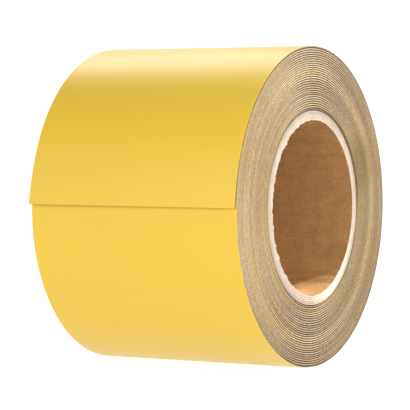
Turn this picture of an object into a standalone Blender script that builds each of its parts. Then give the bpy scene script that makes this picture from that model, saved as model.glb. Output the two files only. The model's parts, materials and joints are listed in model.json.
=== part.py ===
"""A roll of film tape: a spirally wound paper core, one long strip of tape wound on it, and its free end.

The roll's axis is X and the origin is the middle of the core's bore. Angles are measured about X from +Y
towards +Z. The strip starts on the core, winds with growing angle, and its free end hangs at the front, -Y.
The free end is cut across into links, so that it can be peeled off the roll as a flexible strip is.
"""

import math

import bmesh
import bpy
from mathutils import Vector

# Driving dimensions, in metres and degrees.
TAPE_WIDTH = 0.100
TAPE_THICKNESS = 0.00063  # the film
TURN_GAP = 0.00033  # the soft adhesive between one turn and the next
WHOLE_TURNS = 28
START_DEG = 13.6  # where the strip's inner end is stuck to the core
TIP_DEG = 180.0  # where its free end is

CORE_BORE = 0.0765
CORE_WALL = 0.0038
CORE_LENGTH = TAPE_WIDTH
GLUE_LINE = 0.00030  # between two plies of the core
CORE_GAP = 0.00030  # between the core and the first turn
BODY_PLIES = 3
PLY_SEAM = 0.0008  # the gap where a ply's two edges meet
PLY_TWIST_DEG = 247.0  # how far a seam turns round the core from one end to the other
PLY_STAGGER_DEG = 137.0  # from one ply's seam to the next one's

STEP_RAMP_DEG = 10.0  # the arc in which the second turn climbs over the strip's inner end
RAMP_GROWTH = 0.35  # how much wider that arc gets with each turn, as a share of STEP_RAMP_DEG

PEEL_DEG = 120.0  # where the free end leaves the wound turns
FREE_LINKS = 4
LINK_GAP = 0.00040
LIFT_START_DEG = 160.0
LIFT_AT_RIGHT = 0.0007  # how far the tip stands off the roll, at +X and at -X
LIFT_AT_LEFT = 0.0016

FACETS = 36  # per turn, with one facet level at the very bottom
FACET_DEG = 360.0 / FACETS
FACET_PHASE_DEG = FACET_DEG / 2
CORNER_CLEAR = 0.01  # an end this near a facet's corner, in facets, takes its place
SHARP_DEG = 30.0
CUT_TOLERANCE = 1e-7
TURN_TOLERANCE = 1e-9

# Sizes that follow from them.
CORE_RADIUS = CORE_BORE / 2 + CORE_WALL
PLY_COUNT = BODY_PLIES + 2
PLY_THICKNESS = (CORE_WALL - (PLY_COUNT - 1) * GLUE_LINE) / PLY_COUNT
TURN_PITCH = TAPE_THICKNESS + TURN_GAP
FIRST_RADIUS = CORE_RADIUS + CORE_GAP + TAPE_THICKNESS  # the first turn's outer face
LINK_DEG = (TIP_DEG - PEEL_DEG) / FREE_LINKS

KRAFT = (0.36, 0.20, 0.08)
GREY_BOARD = (0.45, 0.38, 0.30)
WHITE_BOARD = (0.78, 0.70, 0.58)
YELLOW_FILM = (0.86, 0.56, 0.07)


def clear_scene():
    for obj in list(bpy.data.objects):
        bpy.data.objects.remove(obj, do_unlink=True)


def material(name, colour, roughness):
    made = bpy.data.materials.new(name)
    made.use_nodes = True
    shader = made.node_tree.nodes["Principled BSDF"]
    shader.inputs["Base Color"].default_value = (*colour, 1.0)
    shader.inputs["Roughness"].default_value = roughness
    shader.inputs["Metallic"].default_value = 0.0
    return made


def at(x, degrees, radius):
    angle = math.radians(degrees)
    return Vector((x, radius * math.cos(angle), radius * math.sin(angle)))


def on_facet(x, degrees, radius):
    """The point at this angle on the flat facets of a turned face, whose corners are at this radius."""
    steps = (degrees - FACET_PHASE_DEG) / FACET_DEG
    low = math.floor(steps)
    first = at(x, FACET_PHASE_DEG + low * FACET_DEG, radius)
    second = at(x, FACET_PHASE_DEG + (low + 1) * FACET_DEG, radius)
    return first.lerp(second, steps - low)


def facet_corners(first_deg, last_deg):
    """Angles from first to last, with every facet corner between them."""
    low = math.ceil((first_deg - FACET_PHASE_DEG) / FACET_DEG + CORNER_CLEAR)
    high = math.floor((last_deg - FACET_PHASE_DEG) / FACET_DEG - CORNER_CLEAR)
    corners = [FACET_PHASE_DEG + i * FACET_DEG for i in range(low, high + 1)]
    return [first_deg, *corners, last_deg]


def thicken_inwards(bm, thickness):
    """Turns a rolled sheet, which is its own outer face, into a closed wall."""
    made = bmesh.ops.extrude_face_region(bm, geom=bm.faces[:])
    for vert in (item for item in made["geom"] if isinstance(item, bmesh.types.BMVert)):
        radius = math.hypot(vert.co.y, vert.co.z)
        vert.co.y *= 1 - thickness / radius
        vert.co.z *= 1 - thickness / radius
    bmesh.ops.recalc_face_normals(bm, faces=bm.faces[:])


def finish(bm, name, look, origin=Vector((0, 0, 0)), parent=None):
    """The object, with its origin at a world point, and on a parent if it has one."""
    bmesh.ops.translate(bm, verts=bm.verts[:], vec=-origin)
    mesh = bpy.data.meshes.new(name)
    bm.to_mesh(mesh)
    bm.free()
    mesh.materials.append(look)
    mesh.shade_smooth()
    mesh.set_sharp_from_angle(angle=math.radians(SHARP_DEG))
    obj = bpy.data.objects.new(name, mesh)
    bpy.context.scene.collection.objects.link(obj)
    if parent is None:
        obj.location = origin
    else:
        obj.parent = parent
        obj.location = origin - parent_origin(parent)
    return obj


def parent_origin(obj):
    """Where an object's origin is in the world. No object here is turned."""
    place = Vector(obj.location)
    while obj.parent:
        obj = obj.parent
        place += Vector(obj.location)
    return place


# The core: each ply is a slanted strip of board, rolled until its two long edges nearly meet.


def cut_sheet(bm, point, normal, keep_inner=False):
    """Cuts the flat sheet on a line, and takes off what lies on the normal's side if keep_inner is set."""
    geometry = bm.verts[:] + bm.edges[:] + bm.faces[:]
    bmesh.ops.bisect_plane(
        bm, geom=geometry, dist=CUT_TOLERANCE, plane_co=point, plane_no=normal, clear_outer=keep_inner
    )


def ply_sheet(radius, seam_deg):
    """The strip laid flat: x along the roll, y the angle round it in degrees."""
    half = CORE_LENGTH / 2
    seam_gap_deg = math.degrees(PLY_SEAM / radius)
    low = seam_deg
    high = seam_deg + 360.0 + PLY_TWIST_DEG
    bm = bmesh.new()
    corners = [(-half, low), (half, low), (half, high), (-half, high)]
    bm.faces.new([bm.verts.new((x, y, 0)) for x, y in corners])
    slope = Vector((-PLY_TWIST_DEG / CORE_LENGTH, 1.0, 0.0))
    cut_sheet(bm, (-half, low + seam_gap_deg / 2, 0), -slope, keep_inner=True)
    cut_sheet(bm, (-half, low + 360.0 - seam_gap_deg / 2, 0), slope, keep_inner=True)
    for corner in facet_corners(low, high)[1:-1]:
        cut_sheet(bm, (0, corner, 0), (0, 1, 0))
    return bm


def core_ply(name, index, look):
    radius = CORE_BORE / 2 + PLY_THICKNESS + index * (PLY_THICKNESS + GLUE_LINE)
    bm = ply_sheet(radius, index * PLY_STAGGER_DEG)
    for vert in bm.verts:
        vert.co = on_facet(vert.co.x, vert.co.y, radius)
    thicken_inwards(bm, PLY_THICKNESS)
    return finish(bm, name, look)


# The tape: one long strip.


def climb(turns):
    """How many pitches the strip has risen after so many turns: each turn is round but for one ramp."""
    whole = math.floor(turns + TURN_TOLERANCE)
    width = min(1.0, STEP_RAMP_DEG / 360.0 * (1 + RAMP_GROWTH * whole))
    done = (turns - whole - (1 - width)) / width
    done = min(max(done, 0.0), 1.0)
    return whole + done * done * (3 - 2 * done)


def lift(x, degrees):
    """How far the free end stands off the roll, in metres. degrees is in the last turn."""
    along = max(0.0, (degrees - LIFT_START_DEG) / (TIP_DEG - LIFT_START_DEG))
    side = x / TAPE_WIDTH + 0.5
    tip = LIFT_AT_LEFT + (LIFT_AT_RIGHT - LIFT_AT_LEFT) * side
    return tip * along * along


def strip_point(x, turns):
    """The strip's outer face after so many turns from its inner end."""
    degrees = START_DEG + 360.0 * turns
    radius = FIRST_RADIUS + TURN_PITCH * climb(turns)
    if turns > WHOLE_TURNS:
        radius += lift(x, degrees - 360.0 * WHOLE_TURNS)
    return at(x, degrees, radius)


def strip_bmesh(first_turns, last_turns):
    """The closed strip between two places along the winding."""
    angles = facet_corners(START_DEG + 360.0 * first_turns, START_DEG + 360.0 * last_turns)
    starts = [START_DEG + 360.0 * n for n in range(1, WHOLE_TURNS + 1)]
    angles += [a for a in starts if angles[0] < a < angles[-1]]
    turns = [(a - START_DEG) / 360.0 for a in sorted(angles)]
    count = len(turns) - 1
    bm = bmesh.new()
    bmesh.ops.create_grid(bm, x_segments=count, y_segments=1, size=0.5)
    for vert in bm.verts:
        place = round((vert.co.x + 0.5) * count)
        vert.co = strip_point(vert.co.y * TAPE_WIDTH, turns[place])
    thicken_inwards(bm, TAPE_THICKNESS)
    return bm


def turns_at(degrees, gap_side=0.0):
    """Turns from the inner end to an angle in the last turn, moved by half a link gap."""
    radius = FIRST_RADIUS + TURN_PITCH * WHOLE_TURNS
    moved = degrees + gap_side * math.degrees(LINK_GAP / 2 / radius)
    return WHOLE_TURNS + (moved - START_DEG) / 360.0


def hinge_point(degrees):
    """A link's hinge: on the strip's outer face, so that its corners open and never meet."""
    left = strip_point(-TAPE_WIDTH / 2, turns_at(degrees))
    right = strip_point(TAPE_WIDTH / 2, turns_at(degrees))
    return (left + right) / 2


def free_end(look):
    """The links of the free end, each on the one before it."""
    parent = None
    for index in range(FREE_LINKS):
        first = PEEL_DEG + index * LINK_DEG
        is_tip = index == FREE_LINKS - 1
        name = "tape_tail_tip" if is_tip else f"tape_tail_{index + 1}"
        last_side = 0.0 if is_tip else -1.0
        bm = strip_bmesh(turns_at(first, 1.0), turns_at(first + LINK_DEG, last_side))
        parent = finish(bm, name, look, hinge_point(first), parent)


def main():
    clear_scene()
    kraft = material("kraft_paper", KRAFT, 0.9)
    board = material("grey_board", GREY_BOARD, 0.9)
    white = material("white_board", WHITE_BOARD, 0.85)
    film = material("yellow_film", YELLOW_FILM, 0.4)
    core_ply("core_liner_ply", 0, kraft)
    for index in range(BODY_PLIES):
        core_ply(f"core_body_ply_{index + 1}", index + 1, board)
    core_ply("core_face_ply", BODY_PLIES + 1, white)
    finish(strip_bmesh(0.0, turns_at(PEEL_DEG, -1.0)), "wound_tape", film)
    free_end(film)


main()
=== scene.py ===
"""Looks of a tape roll: a laminated paper core, one long strip of satin film wound on it, and its free end.

The file is laid out as an add-on, and runs as a script. Everything is in metres. The roll's axis is X,
angles are measured about it from +Y towards +Z, and a place along the strip is given as turns from its
inner end.
"""

import json
import math

import bmesh
import bpy
from bpy.props import FloatProperty, FloatVectorProperty, IntProperty, PointerProperty
from mathutils import Matrix, Vector, noise
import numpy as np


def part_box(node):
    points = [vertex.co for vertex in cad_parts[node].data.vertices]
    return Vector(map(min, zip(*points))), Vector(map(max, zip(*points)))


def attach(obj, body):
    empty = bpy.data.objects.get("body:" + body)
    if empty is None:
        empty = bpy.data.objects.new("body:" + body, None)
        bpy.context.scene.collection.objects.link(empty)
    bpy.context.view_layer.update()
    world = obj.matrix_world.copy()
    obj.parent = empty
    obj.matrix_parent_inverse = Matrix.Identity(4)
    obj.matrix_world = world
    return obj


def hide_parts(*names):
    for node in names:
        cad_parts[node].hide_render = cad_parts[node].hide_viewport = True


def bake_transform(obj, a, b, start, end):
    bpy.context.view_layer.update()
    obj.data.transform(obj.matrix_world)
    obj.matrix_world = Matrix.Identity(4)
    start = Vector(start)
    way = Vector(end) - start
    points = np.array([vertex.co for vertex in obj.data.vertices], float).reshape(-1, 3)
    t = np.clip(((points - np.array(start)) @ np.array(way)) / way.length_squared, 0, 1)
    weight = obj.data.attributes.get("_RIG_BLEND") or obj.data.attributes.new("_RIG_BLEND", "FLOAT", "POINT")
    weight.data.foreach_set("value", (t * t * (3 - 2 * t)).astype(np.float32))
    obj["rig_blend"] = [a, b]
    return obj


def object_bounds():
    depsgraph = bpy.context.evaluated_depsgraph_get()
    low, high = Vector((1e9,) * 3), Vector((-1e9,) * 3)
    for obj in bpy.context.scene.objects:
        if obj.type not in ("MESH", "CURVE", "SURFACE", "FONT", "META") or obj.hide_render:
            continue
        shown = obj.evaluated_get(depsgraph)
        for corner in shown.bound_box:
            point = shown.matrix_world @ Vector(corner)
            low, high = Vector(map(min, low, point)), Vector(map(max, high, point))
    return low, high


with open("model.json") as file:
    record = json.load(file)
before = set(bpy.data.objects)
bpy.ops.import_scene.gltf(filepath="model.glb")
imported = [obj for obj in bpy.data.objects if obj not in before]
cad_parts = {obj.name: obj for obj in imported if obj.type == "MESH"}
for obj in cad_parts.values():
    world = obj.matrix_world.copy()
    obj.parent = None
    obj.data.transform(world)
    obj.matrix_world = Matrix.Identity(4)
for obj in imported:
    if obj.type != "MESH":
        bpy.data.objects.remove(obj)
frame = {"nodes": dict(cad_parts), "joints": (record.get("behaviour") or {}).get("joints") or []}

bl_info = {
    "name": "Tape roll",
    "version": (1, 0, 0),
    "blender": (4, 5, 0),
    "location": "3D View > Sidebar > Tape roll",
    "description": "Builds the visible pieces of a roll of film tape round its packed frame",
    "category": "Add Mesh",
}

CAD_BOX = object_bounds()
ROLL = "roll"
TAIL_NODES = ("tape_tail_1", "tape_tail_2", "tape_tail_3", "tape_tail_tip")
TAIL_BODIES = ("tail_1", "tail_2", "tail_3", "tail_tip")
PLY_NODES = (
    "core_liner_ply",
    "core_body_ply_1",
    "core_body_ply_2",
    "core_body_ply_3",
    "core_face_ply",
)
FRAME_JOINTS = {joint["child"]: joint for joint in frame["joints"]}
WOUND = "wound"  # the attribute that holds turns from the strip's inner end


def radii(node):
    """The nearest and farthest that a CAD node's corners come to the roll's axis."""
    away = [math.hypot(v.co.y, v.co.z) for v in frame["nodes"][node].data.vertices]
    return min(away), max(away)


HALF_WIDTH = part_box("wound_tape")[1].x
FIRST_INNER, LAST_OUTER = radii("wound_tape")
BORE_RADIUS = radii("core_liner_ply")[0]
CORE_RADIUS = radii("core_face_ply")[1]


# Sizes and colours that a user may change.


class TapeSettings(bpy.types.PropertyGroup):
    film: FloatProperty(
        name="Film thickness",
        description="Thickness of the film without its adhesive",
        default=0.00063,
        unit="LENGTH",
    )
    whole_turns: IntProperty(
        name="Whole turns", description="Turns before the last part turn", default=28
    )
    start: FloatProperty(
        name="Inner end",
        description="Where the strip starts on the core",
        default=math.radians(13.6),
        subtype="ANGLE",
    )
    tip: FloatProperty(
        name="Free end",
        description="Where the strip's free end is cut",
        default=math.radians(180.0),
        subtype="ANGLE",
    )
    lift_start: FloatProperty(
        name="Lift start",
        description="Where the free end begins to stand off the roll",
        default=math.radians(160.0),
        subtype="ANGLE",
    )
    lift_right: FloatProperty(
        name="Lift at the right",
        description="How far the free end stands off at +X",
        default=0.0007,
        unit="LENGTH",
    )
    lift_left: FloatProperty(
        name="Lift at the left",
        description="How far the free end stands off at -X",
        default=0.0016,
        unit="LENGTH",
    )
    film_colour: FloatVectorProperty(
        name="Film", description="Colour of the film's face", subtype="COLOR", size=3,
        default=(0.78, 0.51, 0.042),
    )
    edge_light: FloatVectorProperty(
        name="Slit edge, light", description="Lightest tone of the slit edges", subtype="COLOR",
        size=3, default=(0.56, 0.425, 0.26),
    )
    edge_olive: FloatVectorProperty(
        name="Slit edge, olive", description="Yellow tone of the slit edges", subtype="COLOR",
        size=3, default=(0.52, 0.39, 0.17),
    )
    edge_mauve: FloatVectorProperty(
        name="Slit edge, mauve", description="Brown tone of the slit edges", subtype="COLOR",
        size=3, default=(0.36, 0.23, 0.16),
    )
    adhesive_colour: FloatVectorProperty(
        name="Adhesive", description="Colour of the adhesive's face", subtype="COLOR", size=3,
        default=(0.46, 0.30, 0.08),
    )
    # Near black: the adhesive's own edge, painted darker as the shade at the bottom of the grooves between
    # turns.
    adhesive_edge_painted_shade_colour: FloatVectorProperty(
        name="Adhesive's edge", description="Colour of the adhesive where dust has stuck to its edge",
        subtype="COLOR", size=3, default=(0.055, 0.028, 0.015),
    )


class CoreSettings(bpy.types.PropertyGroup):
    kraft: FloatVectorProperty(
        name="Kraft paper", description="Colour of the bore's paper", subtype="COLOR", size=3,
        default=(0.50, 0.275, 0.095),
    )
    board: FloatVectorProperty(
        name="Board", description="Colour of the body plies' cut ends", subtype="COLOR", size=3,
        default=(0.58, 0.47, 0.375),
    )
    liner_end: FloatVectorProperty(
        name="Liner's cut end", description="Colour of the liner's cut end", subtype="COLOR",
        size=3, default=(0.70, 0.57, 0.44),
    )
    burr: FloatProperty(
        name="Burr", description="How far the saw's burr stands into the bore",
        default=0.0006, unit="LENGTH",
    )


class StageSettings(bpy.types.PropertyGroup):
    azimuth: FloatProperty(
        name="Camera azimuth", description="Angle from straight in front towards +X",
        default=math.radians(29.51), subtype="ANGLE",
    )
    elevation: FloatProperty(
        name="Camera elevation", description="Angle above the horizon",
        default=math.radians(0.586), subtype="ANGLE",
    )
    roll: FloatProperty(
        name="Camera roll", description="Tilt of the camera to its right",
        default=math.radians(0.853), subtype="ANGLE",
    )
    distance: FloatProperty(
        name="Camera distance", description="From the roll's middle", default=0.9955, unit="LENGTH"
    )
    lens: FloatProperty(name="Lens", description="Focal length in millimetres", default=197.3)
    aim_right: FloatProperty(
        name="Aim right", description="Where the camera aims, right of the roll's middle",
        default=-0.003544, unit="LENGTH",
    )
    aim_up: FloatProperty(
        name="Aim up", description="Where the camera aims, above the roll's middle",
        default=0.0004, unit="LENGTH",
    )
    backdrop: FloatVectorProperty(
        name="Backdrop", description="Colour of the floor and backdrop", subtype="COLOR", size=3,
        default=(0.15, 0.15, 0.15),
    )


# How the strip lies.

TURN_WAVER = 0.0004  # the most that a turn can stray from round
WAVER_ROUND = 1.4  # how fast that changes round the roll, and from turn to turn
WAVER_OUTWARD = 0.13
RAMP_SHARE = 10.0 / 360.0  # of a turn, in which the second turn climbs over the inner end
RAMP_GROWTH = 0.35  # how much wider the ramp gets with each turn
TURN_TOLERANCE = 1e-9
EDGE_WANDERS = (
    # how fast the wander changes along the strip and from side to side, its seed, and its share
    (0.37, 7.3, 0.0, 0.5),
    (1.9, 3.1, 11.0, 0.35),
    (41.0, 5.7, 23.0, 0.15),
)


def pitch():
    tape = bpy.context.scene.tape_roll_tape
    return (LAST_OUTER - FIRST_INNER - tape.film) / tape.whole_turns


def climb(turns):
    """Pitches risen after so many turns: each turn is round but for the ramp over the inner end."""
    whole = math.floor(turns + TURN_TOLERANCE)
    width = min(1.0, RAMP_SHARE * (1 + RAMP_GROWTH * whole))
    done = min(max((turns - whole - (1 - width)) / width, 0.0), 1.0)
    return whole + done * done * (3 - 2 * done)


def lift(x, turns):
    """How far the free end stands off the roll at this place."""
    tape = bpy.context.scene.tape_roll_tape
    angle = tape.start + math.tau * (turns - tape.whole_turns)
    along = max(0.0, (angle - tape.lift_start) / (tape.tip - tape.lift_start))
    side = x / (2 * HALF_WIDTH) + 0.5
    return (tape.lift_left + (tape.lift_right - tape.lift_left) * side) * along * along


def waver(turns):
    """How far a turn strays from round: neighbours stray together, and the first and last hardly do."""
    tape = bpy.context.scene.tape_roll_tape
    angle = tape.start + math.tau * turns
    share = min(max(turns / tape.whole_turns, 0.0), 1.0)
    seed = Vector((WAVER_ROUND * math.cos(angle), WAVER_ROUND * math.sin(angle), WAVER_OUTWARD * turns))
    return TURN_WAVER * math.sin(math.pi * share) * noise.noise(seed)


def outer_radius(x, turns):
    tape = bpy.context.scene.tape_roll_tape
    radius = FIRST_INNER + tape.film + pitch() * climb(turns) + waver(turns)
    return radius + (lift(x, turns) if turns > tape.whole_turns else 0.0)


def strip_point(x, depth, turns):
    """A point of the strip, at a depth under its outer face."""
    angle = bpy.context.scene.tape_roll_tape.start + math.tau * turns
    radius = outer_radius(x, turns) - depth
    return Vector((x, radius * math.cos(angle), radius * math.sin(angle)))


def turns_at(angle):
    """Turns from the inner end to an angle in the last turn."""
    tape = bpy.context.scene.tape_roll_tape
    return tape.whole_turns + (angle - tape.start) / math.tau


def joint_angle(body):
    """The angle about the roll's axis at which a body's hinge lies."""
    place = FRAME_JOINTS[body]["pos_m"]
    return math.atan2(place[2], place[1])


def tail_turns():
    """Where the tail's links begin, and where the last one ends."""
    starts = [turns_at(joint_angle(body)) for body in TAIL_BODIES]
    return [*starts, turns_at(bpy.context.scene.tape_roll_tape.tip)]


def edge_wander(turns, side, seed):
    """How far out one slit edge stands here, from -1 to 1: each turn has its own place, which drifts."""
    wander = 0.0
    for along, across, shift, share in EDGE_WANDERS:
        wander += share * noise.noise(Vector((turns * along, side * across, seed + shift)))
    return wander


# Mesh helpers.


def rounded_section(half_width, thickness, radius, corner_steps, columns):
    """The strip's cross-section as (x, depth) points, anticlockwise from the outer face's left corner."""
    centres = [
        (half_width - radius, radius, 0.0),
        (half_width - radius, thickness - radius, 90.0),
        (radius - half_width, thickness - radius, 180.0),
        (radius - half_width, radius, 270.0),
    ]
    points = []
    for x, depth, first in centres:
        for step in range(corner_steps + 1):
            angle = math.radians(first + 90.0 * step / corner_steps)
            points.append((x + radius * math.sin(angle), depth - radius * math.cos(angle)))
    across = 2 * (half_width - radius)
    corner = corner_steps + 1
    under = [(half_width - radius - across * i / columns, thickness) for i in range(1, columns)]
    over = [(radius - half_width + across * i / columns, 0.0) for i in range(1, columns)]
    return points[: 2 * corner] + under + points[2 * corner :] + over


def swept(section, stations, place):
    """A closed strip: the section at each station, where place(x, depth, station) gives the point."""
    around = len(section)
    along = len(stations) - 1
    bm = bmesh.new()
    wound = bm.verts.layers.float.new(WOUND)
    bmesh.ops.create_grid(bm, x_segments=along, y_segments=around, size=0.5)
    for vert in bm.verts:
        station = stations[round((vert.co.x + 0.5) * along)]
        x, depth = section[round((vert.co.y + 0.5) * around) % around]
        vert.co = place(x, depth, station)
        vert[wound] = station
    bmesh.ops.remove_doubles(bm, verts=bm.verts[:], dist=1e-7)
    open_edges = [edge for edge in bm.edges if edge.is_boundary]
    bmesh.ops.holes_fill(bm, edges=open_edges, sides=0)
    bmesh.ops.recalc_face_normals(bm, faces=bm.faces[:])
    return bm


def finished(bm, name, materials, sharp_degrees=35.0):
    mesh = bpy.data.meshes.new(name)
    bm.to_mesh(mesh)
    bm.free()
    for material in materials:
        mesh.materials.append(material)
    mesh.shade_smooth()
    mesh.set_sharp_from_angle(angle=math.radians(sharp_degrees))
    obj = bpy.data.objects.new(name, mesh)
    bpy.context.scene.collection.objects.link(obj)
    return obj


def stations_between(first, last, per_turn):
    count = max(1, round((last - first) * per_turn))
    return [first + (last - first) * i / count for i in range(count + 1)]


# Node helpers.


class Graph:
    """Short names for building a material's or a group's nodes."""

    def __init__(self, tree):
        self.tree = tree

    def node(self, kind, inputs=None, **settings):
        made = self.tree.nodes.new(kind)
        for name, value in settings.items():
            setattr(made, name, value)
        for key, value in (inputs or {}).items():
            if isinstance(value, bpy.types.NodeSocket):
                self.tree.links.new(value, made.inputs[key])
            else:
                made.inputs[key].default_value = value
        return made

    def math(self, operation, first, second=0.0, clamp=False):
        made = self.node("ShaderNodeMath", {0: first, 1: second}, operation=operation)
        made.use_clamp = clamp
        return made.outputs[0]

    def noise(self, scale, detail=2.0, roughness=0.5, vector=None, w=None):
        inputs = {"Scale": scale, "Detail": detail, "Roughness": roughness}
        if w is not None:
            inputs["W"] = w
            return self.node("ShaderNodeTexNoise", inputs, noise_dimensions="1D").outputs["Fac"]
        inputs["Vector"] = vector
        return self.node("ShaderNodeTexNoise", inputs, noise_dimensions="3D").outputs["Fac"]

    def span(self, value, low, high, to_low=0.0, to_high=1.0):
        inputs = {"Value": value, "From Min": low, "From Max": high, "To Min": to_low, "To Max": to_high}
        return self.node("ShaderNodeMapRange", inputs, clamp=True).outputs["Result"]

    def mix(self, factor, first, second, blend_type="MIX"):
        made = self.node("ShaderNodeMix", data_type="RGBA", blend_type=blend_type)
        for index, value in ((0, factor), (6, first), (7, second)):
            if isinstance(value, bpy.types.NodeSocket):
                self.tree.links.new(value, made.inputs[index])
            else:
                made.inputs[index].default_value = value
        return made.outputs[2]

    def grey(self, value):
        return self.node("ShaderNodeCombineColor", {0: value, 1: value, 2: value}).outputs[0]

    def times(self, colour, light):
        return self.mix(1.0, colour, self.grey(light), "MULTIPLY")

    def place(self):
        return self.node("ShaderNodeTexCoord").outputs["Object"]

    def stretched(self, vector, scale):
        return self.node("ShaderNodeMapping", {"Vector": vector, "Scale": scale}).outputs[0]


def rgba(colour):
    return (*colour, 1.0)


def group(name, inputs, outputs):
    """A shader group with named sockets: returns it, its Graph, its inputs and its output node."""
    made = bpy.data.node_groups.get(name)
    if made:
        return made, None, None, None
    made = bpy.data.node_groups.new(name, "ShaderNodeTree")
    for kind, entries in (("INPUT", inputs), ("OUTPUT", outputs)):
        for socket_name, socket_type in entries:
            made.interface.new_socket(
                name=socket_name, in_out=kind, socket_type=f"NodeSocket{socket_type}"
            )
    graph = Graph(made)
    start = graph.node("NodeGroupInput")
    end = graph.node("NodeGroupOutput")
    return made, graph, start.outputs, end


def paper_fibre():
    """Fibres and specks of paper: a tone between two colours, and a height."""
    made, graph, start, end = group(
        "Paper fibre",
        [("Colour", "Color"), ("Dark", "Color"), ("Light", "Color"), ("Scale", "Float")],
        [("Colour", "Color"), ("Height", "Float")],
    )
    if graph is None:
        return made
    place = graph.place()
    pulp = graph.noise(graph.math("MULTIPLY", start["Scale"], 0.12), 3.0, 0.6, vector=place)
    long_fibre = graph.noise(
        start["Scale"], 4.0, 0.65, vector=graph.stretched(place, (0.6, 1.0, 1.0))
    )
    speck = graph.noise(graph.math("MULTIPLY", start["Scale"], 2.3), 2.0, 0.7, vector=place)
    dark = graph.span(long_fibre, 0.42, 0.68)
    light = graph.span(speck, 0.56, 0.74)
    colour = graph.mix(graph.math("MULTIPLY", dark, 0.6), start["Colour"], start["Dark"])
    colour = graph.mix(graph.math("MULTIPLY", light, 0.5), colour, start["Light"])
    colour = graph.times(colour, graph.span(pulp, 0.3, 0.7, 0.88, 1.1))
    graph.tree.links.new(colour, end.inputs["Colour"])
    height = graph.math("ADD", long_fibre, graph.math("MULTIPLY", speck, 0.5))
    graph.tree.links.new(height, end.inputs["Height"])
    return made


GREYER_PLACE_AT = (0.050, 0.043, 0.018)  # a darker, greyer place on the slit edges near the core, towards the back
GREYER_PLACE = (0.075, 0.068, 0.060)
GREYER_PLACE_REACH = 0.017
GREYER_PLACE_HEART = 0.006
LAST_SHADE = 30.0  # turns, at the far end of the ramp of shades
TURN_SHADES = (
    # turns from the inner end, and how light the slit edges there are
    (6.0, 0.96),
    (8.0, 0.79),
    (12.5, 0.81),
    (14.0, 1.20),
    (19.0, 1.24),
    (21.0, 0.91),
    (25.0, 0.93),
    (27.5, 0.98),
)
FIRST_LIGHT = 0.92
LAST_LIGHT = 0.98
# The turns at which a band of tone begins, is full, starts to fade, and ends.
YELLOWER_TURNS = (11.5, 13.0, 16.5, 18.0)
REDDER_TURNS = (17.5, 18.5, 22.5, 24.0)
PAINTED_SHADE_TURNS = (
    # turns from and to, and the light before and after them: each paints shade onto the slit edges where a
    # gap between layers lies in shadow
    (0.10, 0.20, 0.10, 1.0),  # painted shade in the gap where the strip's inner end stands off the core
    (0.955, 0.965, 1.0, 0.25),  # painted shade in the crack where the second turn climbs over that end
    (1.04, 1.14, 1.0, 4.0),  # and where that crack closes, the painted shade ends
    # painted shade in the gap between the core and the first turn
    (0.9, 1.3, 0.6, 1.0),
    # painted shade along the outermost turn's slit edge, for the gap beneath it
    (27.5, 27.7, 1.0, 0.5),
    # painted shade along the free end's slit edge, for the gap beneath it
    (28.25, 28.35, 1.0, 0.3),
)


def band(graph, wound, turns):
    """A mask that is 1 on some turns and fades out on either side of them."""
    begins, full, fades, ends = turns
    return graph.math("MULTIPLY", graph.span(wound, begins, full), graph.span(wound, ends, fades))


def slit_tint(graph, start, wound, place, across):
    """The hue of a slit edge, between the light, olive and mauve tones."""
    bands = graph.noise(0.42, 2.0, 0.55, w=wound)
    drift = graph.noise(26.0, 2.0, 0.5, vector=place)
    each = graph.noise(1.7, 1.0, 0.5, w=graph.math("ADD", wound, 40.0))
    olive = graph.span(graph.math("ADD", bands, graph.math("MULTIPLY", drift, 0.5)), 0.66, 0.86)
    mauve = graph.span(graph.math("ADD", each, graph.math("MULTIPLY", drift, 0.6)), 0.74, 0.96)
    right = graph.span(across, 0.01, 0.04)
    yellower = graph.math("MULTIPLY", band(graph, wound, YELLOWER_TURNS), right)
    redder = graph.math("MULTIPLY", band(graph, wound, REDDER_TURNS), right)
    colour = graph.mix(olive, start["Light"], start["Olive"])
    colour = graph.mix(graph.math("MULTIPLY", yellower, 0.55), colour, start["Olive"])
    mauve = graph.math("MAXIMUM", mauve, graph.math("MULTIPLY", redder, 0.7))
    return graph.mix(graph.math("MULTIPLY", mauve, 0.75), colour, start["Mauve"])


def slit_light(graph, wound, across):
    """How light a slit edge is, by its turn: the bands show most at the back, and fade to the front. Painted
    shade then darkens the slit edges at the gaps by the core, along the outermost turn and along the free
    end.
    """
    shades = graph.node("ShaderNodeValToRGB", {0: graph.math("DIVIDE", wound, LAST_SHADE)})
    stops = shades.color_ramp.elements
    stops[0].color = (FIRST_LIGHT / 2, FIRST_LIGHT / 2, FIRST_LIGHT / 2, 1.0)
    stops[-1].color = (LAST_LIGHT / 2, LAST_LIGHT / 2, LAST_LIGHT / 2, 1.0)
    for turns, light in TURN_SHADES:
        stops.new(turns / LAST_SHADE).color = (light / 2, light / 2, light / 2, 1.0)
    banded = graph.math("MULTIPLY", shades.outputs["Color"], 2.0)
    amount = graph.span(across, -0.045, 0.03, 0.25, 1.0)
    light = graph.math("ADD", 1.0, graph.math("MULTIPLY", graph.math("SUBTRACT", banded, 1.0), amount))
    # painted shade at the gaps between layers, by turn
    for low, high, before, after in PAINTED_SHADE_TURNS:
        light = graph.math("MULTIPLY", light, graph.span(wound, low, high, before, after))
    return light


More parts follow.
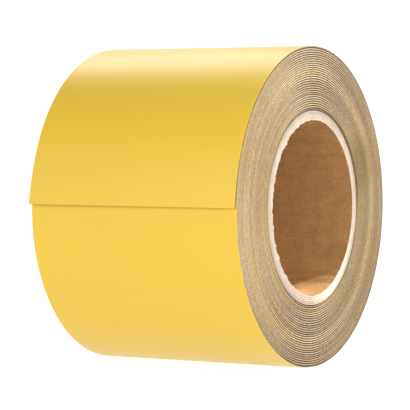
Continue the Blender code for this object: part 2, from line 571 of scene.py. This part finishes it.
def turn_tones():
    """The tone of a slit edge, which changes from turn to turn and drifts along each, with painted shade
    where gaps between layers lie in shadow.
    """
    made, graph, start, end = group(
        "Turn tones",
        [("Light", "Color"), ("Olive", "Color"), ("Mauve", "Color"), ("Grain", "Float")],
        [("Colour", "Color"), ("Height", "Float")],
    )
    if graph is None:
        return made
    wound = graph.node("ShaderNodeAttribute", attribute_name=WOUND).outputs["Fac"]
    place = graph.place()
    across = graph.node("ShaderNodeSeparateXYZ", {0: place}).outputs["Y"]
    grain = graph.noise(start["Grain"], 3.0, 0.6, vector=place)
    blotch = graph.noise(graph.math("MULTIPLY", start["Grain"], 0.35), 2.0, 0.6, vector=place)
    light = slit_light(graph, wound, across)
    light = graph.math("MULTIPLY", light, graph.span(grain, 0.3, 0.7, 0.74, 1.24))
    light = graph.math("MULTIPLY", light, graph.span(blotch, 0.3, 0.7, 0.80, 1.18))
    colour = graph.times(slit_tint(graph, start, wound, place, across), light)
    # darkens the slit edges towards grey round one place near the core
    greyer_distance = graph.node("ShaderNodeVectorMath", {0: place, 1: GREYER_PLACE_AT}, operation="DISTANCE")
    greyer_share = graph.span(greyer_distance.outputs["Value"], GREYER_PLACE_REACH, GREYER_PLACE_HEART, 0.0, 0.72)
    greyer_share = graph.math("MULTIPLY", greyer_share, graph.span(blotch, 0.25, 0.6))
    colour = graph.mix(greyer_share, colour, rgba(GREYER_PLACE))
    graph.tree.links.new(colour, end.inputs["Colour"])
    graph.tree.links.new(grain, end.inputs["Height"])
    return made


def faint_marks():
    """The slight unevenness of a wound face: broad drift and a fine grain."""
    made, graph, start, end = group(
        "Faint marks",
        [("Colour", "Color"), ("Roughness", "Float"), ("Amount", "Float")],
        [("Colour", "Color"), ("Roughness", "Float"), ("Height", "Float")],
    )
    if graph is None:
        return made
    place = graph.place()
    broad = graph.noise(16.0, 2.0, 0.5, vector=place)
    fine = graph.noise(900.0, 3.0, 0.6, vector=graph.stretched(place, (0.4, 1.0, 1.0)))
    signed = graph.math("MULTIPLY", graph.math("SUBTRACT", broad, 0.5), start["Amount"])
    colour = graph.times(start["Colour"], graph.math("ADD", 1.0, signed))
    graph.tree.links.new(colour, end.inputs["Colour"])
    rough = graph.math("ADD", start["Roughness"], graph.math("MULTIPLY", signed, 0.5))
    rough = graph.math("ADD", rough, graph.math("MULTIPLY", graph.math("SUBTRACT", fine, 0.5), 0.08))
    graph.tree.links.new(rough, end.inputs["Roughness"])
    height = graph.math("ADD", graph.math("MULTIPLY", broad, 1.0), graph.math("MULTIPLY", fine, 0.02))
    graph.tree.links.new(height, end.inputs["Height"])
    return made


FILM_ROUGHNESS = 0.36
EDGE_ROUGHNESS = 0.6
EDGE_GRAIN = 1900.0
ADHESIVE_ROUGHNESS = 0.6
ADHESIVE_IOR = 1.3
PAPER_IOR = 1.45


def new_material(name, roughness, ior=1.5):
    material = bpy.data.materials.new(name)
    material.use_nodes = True
    shader = material.node_tree.nodes["Principled BSDF"]
    shader.inputs["Roughness"].default_value = roughness
    shader.inputs["IOR"].default_value = ior
    return material, Graph(material.node_tree), shader


def with_bump(graph, shader, height, strength, distance):
    bump = graph.node(
        "ShaderNodeBump", {"Height": height, "Strength": strength, "Distance": distance}
    )
    graph.tree.links.new(bump.outputs["Normal"], shader.inputs["Normal"])


def marked(graph, shader, colour, roughness, amount):
    """Gives a shader the faint marks' colour and roughness, and returns their height."""
    marks = graph.node("ShaderNodeGroup", node_tree=faint_marks())
    marks.inputs["Colour"].default_value = rgba(colour)
    marks.inputs["Roughness"].default_value = roughness
    marks.inputs["Amount"].default_value = amount
    graph.tree.links.new(marks.outputs["Colour"], shader.inputs["Base Color"])
    graph.tree.links.new(marks.outputs["Roughness"], shader.inputs["Roughness"])
    return marks.outputs["Height"]


def film_face():
    found = bpy.data.materials.get("film_face")
    if found:
        return found
    tape = bpy.context.scene.tape_roll_tape
    material, graph, shader = new_material("film_face", FILM_ROUGHNESS)
    height = marked(graph, shader, tape.film_colour, FILM_ROUGHNESS, 0.05)
    with_bump(graph, shader, height, 0.25, 0.0004)
    return material


def film_edge():
    found = bpy.data.materials.get("film_edge")
    if found:
        return found
    tape = bpy.context.scene.tape_roll_tape
    material, graph, shader = new_material("film_edge", EDGE_ROUGHNESS)
    tones = graph.node("ShaderNodeGroup", node_tree=turn_tones())
    tones.inputs["Light"].default_value = rgba(tape.edge_light)
    tones.inputs["Olive"].default_value = rgba(tape.edge_olive)
    tones.inputs["Mauve"].default_value = rgba(tape.edge_mauve)
    tones.inputs["Grain"].default_value = EDGE_GRAIN
    graph.tree.links.new(tones.outputs["Colour"], shader.inputs["Base Color"])
    with_bump(graph, shader, tones.outputs["Height"], 0.5, 0.0001)
    return material


def adhesive(name, colour):
    found = bpy.data.materials.get(name)
    if found:
        return found
    material, graph, shader = new_material(name, ADHESIVE_ROUGHNESS, ADHESIVE_IOR)
    height = marked(graph, shader, colour, ADHESIVE_ROUGHNESS, 0.4)
    with_bump(graph, shader, height, 0.4, 0.0003)
    return material


# The adhesive's edge, near black: painted shade at the bottom of the grooves between turns.
def adhesive_edge_painted_shade():
    return adhesive("adhesive_edge_painted_shade", bpy.context.scene.tape_roll_tape.adhesive_edge_painted_shade_colour)


def adhesive_face():
    return adhesive("adhesive_face", bpy.context.scene.tape_roll_tape.adhesive_colour)


def paper(name, colour, dark, light, scale, bump, roughness=0.92):
    found = bpy.data.materials.get(name)
    if found:
        return found
    material, graph, shader = new_material(name, roughness, PAPER_IOR)
    fibre = graph.node("ShaderNodeGroup", node_tree=paper_fibre())
    fibre.inputs["Colour"].default_value = rgba(colour)
    fibre.inputs["Dark"].default_value = rgba(dark)
    fibre.inputs["Light"].default_value = rgba(light)
    fibre.inputs["Scale"].default_value = scale
    graph.tree.links.new(fibre.outputs["Colour"], shader.inputs["Base Color"])
    with_bump(graph, shader, fibre.outputs["Height"], bump, 0.0002)
    return material


def scaled(colour, share):
    return tuple(min(1.0, channel * share) for channel in colour)


def kraft_paper():
    colour = bpy.context.scene.tape_roll_core.kraft
    return paper("bore_kraft", colour, scaled(colour, 0.55), scaled(colour, 1.5), 1300.0, 0.6, 0.75)


def board_end():
    colour = bpy.context.scene.tape_roll_core.board
    return paper("board_cut_end", colour, scaled(colour, 0.7), scaled(colour, 1.25), 1800.0, 0.8)


def liner_end():
    colour = bpy.context.scene.tape_roll_core.liner_end
    return paper("liner_cut_end", colour, scaled(colour, 0.8), scaled(colour, 1.15), 1800.0, 0.8)


# The tape.

FILM_CORNER = 0.00010
FILM_WANDER = 0.00009  # how far a slit edge strays
WANDER_FROM = 0.9  # of the half width, from which the film strays with its slit edge
ADHESIVE_RECESS = 0.00022
ADHESIVE_WANDER = 0.00012
ADHESIVE_BITE = 0.00002  # how far it reaches into the film's underside
ADHESIVE_SEED = 50.0
TIP_SHARE = 0.4  # of the gap, that the tip's adhesive fills
TIP_BARE_TURNS = 0.004  # how far the adhesive stops short of the free end
COVERED_TURNS = 27.46  # the strip is covered by its next turn up to here
BEND_SHARE = 0.12  # of a link's length, over which it bends
WOUND_STATIONS = 144  # to a turn
WOUND_ADHESIVE_STATIONS = 96
TAIL_STATIONS = 720
TAIL_COLUMNS = 16
FILM_FACE, FILM_EDGE, FILM_UNDERSIDE_PAINTED_SHADE = 0, 1, 2


def film_strip(name, first, last, per_turn, columns=1, corner_steps=1):
    """The film between two places along the strip, closed, with its slit edges in their own material, and
    its underside corners in the adhesive edge's near-black, which paints the shade of the groove under each
    turn.
    """
    film = bpy.context.scene.tape_roll_tape.film
    section = rounded_section(HALF_WIDTH, film, FILM_CORNER, corner_steps, columns)

    def place(x, depth, turns):
        side = 1.0 if x > 0 else -1.0
        near_edge = max(0.0, (abs(x) / HALF_WIDTH - WANDER_FROM) / (1 - WANDER_FROM))
        strayed = x + side * FILM_WANDER * edge_wander(turns, side, 0.0) * near_edge
        return strip_point(strayed, depth, turns)

    bm = swept(section, stations_between(first, last, per_turn), place)
    for face in bm.faces:
        inside = abs(face.calc_center_median().x) < HALF_WIDTH - 2.5 * FILM_CORNER
        inward = face.normal.dot(Vector((0, *face.calc_center_median().yz))) < 0
        covered = face.verts[0][bm.verts.layers.float[WOUND]] < COVERED_TURNS
        if inside:
            face.material_index = FILM_FACE
        elif abs(face.normal.x) > 0.95 or (covered and not inward):
            face.material_index = FILM_EDGE
        else:
            # the film's underside corners take the near-black adhesive edge: painted shade in the groove
            # under each turn
            face.material_index = FILM_UNDERSIDE_PAINTED_SHADE if inward else FILM_FACE
    return finished(bm, name, [film_face(), film_edge(), adhesive_edge_painted_shade()])


def adhesive_strip(name, first, last, per_turn, share=1.0):
    """The adhesive under the film: it fills a share of the gap, and is set back from the slit edges. Its
    ends at the slit edges are near black, as painted shade at the bottom of the grooves.
    """
    tape = bpy.context.scene.tape_roll_tape
    gap = share * (pitch() - tape.film)
    half = HALF_WIDTH - ADHESIVE_RECESS
    section = [
        (half, tape.film - ADHESIVE_BITE),
        (half, tape.film + gap - ADHESIVE_BITE),
        (-half, tape.film + gap - ADHESIVE_BITE),
        (-half, tape.film - ADHESIVE_BITE),
    ]

    def place(x, depth, turns):
        side = 1.0 if x > 0 else -1.0
        strayed = x + side * ADHESIVE_WANDER * edge_wander(turns, side, ADHESIVE_SEED)
        return strip_point(strayed, depth, turns)

    bm = swept(section, stations_between(first, last, per_turn), place)
    for face in bm.faces:
        # the adhesive's ends at the slit edges take the near-black material: painted shade at the bottom of
        # the grooves
        face.material_index = 1 if abs(face.normal.x) > 0.9 else 0
    return finished(bm, name, [adhesive_face(), adhesive_edge_painted_shade()])


class TAPEROLL_OT_wound_turns(bpy.types.Operator):
    """Builds the film's wound turns and the adhesive between them"""

    bl_idname = "tape_roll.wound_turns"
    bl_label = "Wound turns"

    def execute(self, context):
        peel = tail_turns()[0]
        film = film_strip("wound_film", 0.0, peel, WOUND_STATIONS)
        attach(film, ROLL)
        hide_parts("wound_tape")
        glue = adhesive_strip("wound_adhesive", 0.004, peel, WOUND_ADHESIVE_STATIONS)
        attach(glue, ROLL)
        return {"FINISHED"}


class TAPEROLL_OT_free_end(bpy.types.Operator):
    """Builds the film's free end, which bends at its links' hinges"""

    bl_idname = "tape_roll.free_end"
    bl_label = "Free end"

    def execute(self, context):
        places = tail_turns()
        before = ROLL
        for index, body in enumerate(TAIL_BODIES):
            first, last = places[index], places[index + 1]
            start = strip_point(0.0, 0.0, first)
            end = strip_point(0.0, 0.0, first + BEND_SHARE * (last - first))
            film = film_strip(f"tail_film_{index + 1}", first, last, TAIL_STATIONS, TAIL_COLUMNS)
            is_tip = index == len(TAIL_BODIES) - 1
            glue_end = last - TIP_BARE_TURNS if is_tip else last
            share = TIP_SHARE if is_tip else 1.0
            glue = adhesive_strip(f"tail_adhesive_{index + 1}", first, glue_end, TAIL_STATIONS, share)
            for piece in (film, glue):
                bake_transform(piece, before, body, start=start, end=end)
            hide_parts(TAIL_NODES[index])
            before = body
        return {"FINISHED"}


# The core.

PLY_GROOVE = 0.00006  # the hairline left between two plies' cut ends
PLY_STEPS = 360
PLY_CORNER = 0.00012
BURR_REACH = 0.0009  # from the cut end to where the burr no longer shows
BROWN_PLIES = 3  # how many plies have the liner's darker cut end


def ply_ring(name, inner, outer, inner_material, end_material, burr=0.0):
    """One ply of the core: a turned ring with a fuzzy cut end, and a burr into the bore on the liner."""
    corner = PLY_CORNER
    half = HALF_WIDTH
    section = [
        (-half + corner, inner),
        (-half + BURR_REACH, inner),
        (half - BURR_REACH, inner),
        (half - corner, inner),
        (half, inner + corner),
        (half, outer - corner),
        (half - corner, outer),
        (-half + corner, outer),
        (-half, outer - corner),
        (-half, inner + corner),
    ]
    bm = bmesh.new()
    verts = [bm.verts.new((x, radius, 0.0)) for x, radius in section]
    edges = [bm.edges.new((a, b)) for a, b in zip(verts, verts[1:] + verts[:1])]
    bmesh.ops.spin(
        bm, geom=verts + edges, cent=(0, 0, 0), axis=(1, 0, 0), angle=math.tau,
        steps=PLY_STEPS, use_merge=True,
    )
    bmesh.ops.remove_doubles(bm, verts=bm.verts[:], dist=1e-6)
    for vert in bm.verts:
        radius = math.hypot(vert.co.y, vert.co.z)
        if abs(vert.co.x) < half - 1.5 * corner:
            continue
        coarse = noise.noise(vert.co * 420.0)
        fine = noise.noise(vert.co * 1500.0)
        out = 0.0001 * coarse + 0.00008 * fine
        if burr and radius < inner + 1.5 * corner:
            ragged = max(0.0, 0.25 + 0.8 * coarse + 0.7 * fine)
            shrink = 1 - burr * ragged / radius
            vert.co.y *= shrink
            vert.co.z *= shrink
            out += 0.5 * burr * ragged
        vert.co.x += math.copysign(out, vert.co.x)
    bmesh.ops.recalc_face_normals(bm, faces=bm.faces[:])
    for face in bm.faces:
        centre = face.calc_center_median()
        radius = math.hypot(centre.y, centre.z)
        in_bore = radius < inner + 0.3 * corner and abs(centre.x) < half - corner
        face.material_index = 0 if in_bore else 1
    return finished(bm, name, [inner_material, end_material], sharp_degrees=60.0)


class TAPEROLL_OT_core(bpy.types.Operator):
    """Builds the core's plies, which are glued face to face"""

    bl_idname = "tape_roll.core"
    bl_label = "Core"

    def execute(self, context):
        core = context.scene.tape_roll_core
        count = len(PLY_NODES)
        bounds = [BORE_RADIUS + (CORE_RADIUS - BORE_RADIUS) * i / count for i in range(count + 1)]
        for index, node in enumerate(PLY_NODES):
            is_liner = index == 0
            ring = ply_ring(
                node.replace("_ply", "_board"),
                bounds[index] + (0 if is_liner else PLY_GROOVE / 2),
                bounds[index + 1] - PLY_GROOVE / 2,
                kraft_paper() if is_liner else board_end(),
                liner_end() if index < BROWN_PLIES else board_end(),
                core.burr if is_liner else 0.0,
            )
            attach(ring, ROLL)
            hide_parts(node)
        return {"FINISHED"}


# The stage.

KEY_DIRECTION = (0.517, 0.567, 0.642)  # from the roll towards the small, hard lamp
KEY_DISTANCE = 2.4
KEY_WATTS = 45.0
KEY_SIZE = 0.08
SOFTBOXES = (
    # name, azimuth and elevation in degrees as the camera's, distance, size, watts
    ("back_low", -147.0, 25.8, 1.4, 0.6, 0.4),
    ("back_high", -134.9, 46.3, 1.4, 0.6, 4.1),
    ("front_high", -19.1, 23.8, 1.4, 0.6, 1.5),
    ("front_low", -8.0, 8.0, 1.4, 0.6, 1.2),
    ("front_near", 25.0, 20.0, 0.6, 0.3, 0.5),
    ("right_high", 81.3, 40.6, 1.4, 0.6, 4.0),
    ("right_low", 49.6, 9.9, 1.4, 0.6, 1.2),
)
BORE_TARGET = (0.0400, 0.0080, -0.0375)  # where a snooted lamp, in line with the key, looks in
BORE_DISTANCE = 1.2
BORE_WATTS = 150.0
BORE_CONE = math.radians(1.25)
BORE_LAMP_RADIUS = 0.004
FLOOR_GLOW = 0.90
WALL_GLOW = 0.98
GLOW_FROM = 1.2  # from the roll, where the floor's glow starts to turn into the wall's
GLOW_TO = 3.0
WORLD_STRENGTH = 0.22
FLOOR_FLAT = 4.0  # radius of the flat floor
FLOOR_BEND = 1.0  # radius of the curve up to the wall
FLOOR_WALL = 1.2  # height of the wall above that curve
SENSOR_WIDTH = 36.0  # millimetres, as the lens is
CLIP_END = 50.0


def toward(azimuth, elevation):
    """The direction from the roll to a place, with the camera's angles in radians."""
    flat = math.cos(elevation)
    return Vector((math.sin(azimuth) * flat, -math.cos(azimuth) * flat, math.sin(elevation)))


def lamp(name, kind, watts, back, place):
    """A lamp at a place, shining along the opposite of back: returns its data."""
    data = bpy.data.lights.new(name, kind)
    data.energy = watts
    obj = bpy.data.objects.new(name, data)
    obj.location = place
    obj.rotation_mode = "QUATERNION"
    obj.rotation_quaternion = back.to_track_quat("Z", "Y")
    bpy.context.scene.collection.objects.link(obj)
    return data


def backdrop_material():
    colour = bpy.context.scene.tape_roll_stage.backdrop
    material, graph, shader = new_material("backdrop", 0.9)
    shader.inputs["Base Color"].default_value = rgba(colour)
    shader.inputs["Emission Color"].default_value = (1, 1, 1, 1)
    away = graph.node("ShaderNodeVectorMath", {0: graph.place()}, operation="LENGTH")
    glow = graph.span(away.outputs["Value"], GLOW_FROM, GLOW_TO, FLOOR_GLOW, WALL_GLOW)
    graph.tree.links.new(glow, shader.inputs["Emission Strength"])
    return material


class TAPEROLL_OT_stage(bpy.types.Operator):
    """Builds the pale floor and backdrop, the studio lights and the camera"""

    bl_idname = "tape_roll.stage"
    bl_label = "Stage"

    def execute(self, context):
        self.floor()
        self.lights(context.scene)
        self.camera(context.scene)
        context.scene.view_settings.view_transform = "Standard"
        return {"FINISHED"}

    def floor(self):
        """A round floor that curves up into a low wall on every side."""
        level = CAD_BOX[0].z
        bm = bmesh.new()
        ends = [bm.verts.new((x, 0, level)) for x in (0, FLOOR_FLAT)]
        bm.edges.new(ends)
        bent = bmesh.ops.spin(
            bm, geom=ends[1:], cent=(FLOOR_FLAT, 0, level + FLOOR_BEND), axis=(0, -1, 0),
            angle=math.radians(90), steps=24,
        )["geom_last"]
        top = bmesh.ops.extrude_vert_indiv(bm, verts=bent)["verts"]
        bmesh.ops.translate(bm, verts=top, vec=(0, 0, FLOOR_WALL))
        profile = bm.verts[:] + bm.edges[:]
        bmesh.ops.spin(
            bm, geom=profile, cent=(0, 0, 0), axis=(0, 0, 1), angle=math.tau, steps=96,
            use_merge=True,
        )
        bmesh.ops.remove_doubles(bm, verts=bm.verts[:], dist=1e-5)
        bmesh.ops.recalc_face_normals(bm, faces=bm.faces[:])
        middle = min(bm.faces, key=lambda face: face.calc_center_median().xy.length)
        if middle.normal.z < 0:
            bmesh.ops.reverse_faces(bm, faces=bm.faces[:])
        finished(bm, "backdrop", [backdrop_material()], sharp_degrees=60.0)

    def lights(self, scene):
        key_direction = Vector(KEY_DIRECTION)
        key = lamp("key", "AREA", KEY_WATTS, key_direction, key_direction * KEY_DISTANCE)
        key.shape = "DISK"
        key.size = KEY_SIZE
        bore_place = Vector(BORE_TARGET) + key_direction * BORE_DISTANCE
        snoot = lamp("bore_snoot", "SPOT", BORE_WATTS, key_direction, bore_place)
        snoot.shadow_soft_size = BORE_LAMP_RADIUS
        snoot.spot_size = BORE_CONE
        snoot.spot_blend = 1.0
        for name, azimuth, elevation, distance, size, watts in SOFTBOXES:
            back = toward(math.radians(azimuth), math.radians(elevation))
            box = lamp(name, "AREA", watts, back, back * distance)
            box.shape = "SQUARE"
            box.size = size
        world = bpy.data.worlds.new("studio")
        world.use_nodes = True
        background = world.node_tree.nodes["Background"]
        background.inputs["Color"].default_value = (1, 1, 1, 1)
        background.inputs["Strength"].default_value = WORLD_STRENGTH
        scene.world = world

    def camera(self, scene):
        stage = scene.tape_roll_stage
        data = bpy.data.cameras.new("camera")
        data.lens = stage.lens
        data.sensor_width = SENSOR_WIDTH
        data.clip_end = CLIP_END
        camera = bpy.data.objects.new("camera", data)
        back = toward(stage.azimuth, stage.elevation)
        right = Vector((0, 0, 1)).cross(back).normalized()
        up = back.cross(right)
        turn = Matrix.Rotation(stage.roll, 3, back)
        right, up = turn @ right, turn @ up
        aim = right * stage.aim_right + up * stage.aim_up
        place = back * stage.distance
        look = (place - aim).normalized()
        right = up.cross(look).normalized()
        up = look.cross(right)
        camera.matrix_world = Matrix.Translation(place) @ Matrix((right, up, look)).transposed().to_4x4()
        scene.collection.objects.link(camera)
        scene.camera = camera


class TAPEROLL_PT_panel(bpy.types.Panel):
    """Lists the roll's settings and the operators that build it"""

    bl_label = "Tape roll"
    bl_idname = "TAPEROLL_PT_panel"
    bl_space_type = "VIEW_3D"
    bl_region_type = "UI"
    bl_category = "Tape roll"

    def draw(self, context):
        for group_name in SETTINGS:
            settings = getattr(context.scene, group_name)
            for name in settings.bl_rna.properties.keys():
                if name not in ("rna_type", "name"):
                    self.layout.prop(settings, name)
        for operator in OPERATORS:
            self.layout.operator(operator.bl_idname)


SETTINGS = {
    "tape_roll_tape": TapeSettings,
    "tape_roll_core": CoreSettings,
    "tape_roll_stage": StageSettings,
}
OPERATORS = (
    TAPEROLL_OT_core,
    TAPEROLL_OT_wound_turns,
    TAPEROLL_OT_free_end,
    TAPEROLL_OT_stage,
)


def register():
    for made in (*SETTINGS.values(), *OPERATORS, TAPEROLL_PT_panel):
        bpy.utils.register_class(made)
    for name, settings in SETTINGS.items():
        setattr(bpy.types.Scene, name, PointerProperty(type=settings))


def unregister():
    for name in SETTINGS:
        delattr(bpy.types.Scene, name)
    for made in reversed((*SETTINGS.values(), *OPERATORS, TAPEROLL_PT_panel)):
        bpy.utils.unregister_class(made)


def main():
    register()
    bpy.ops.tape_roll.core()
    bpy.ops.tape_roll.wound_turns()
    bpy.ops.tape_roll.free_end()
    bpy.ops.tape_roll.stage()


if __name__ == "__main__":
    main()
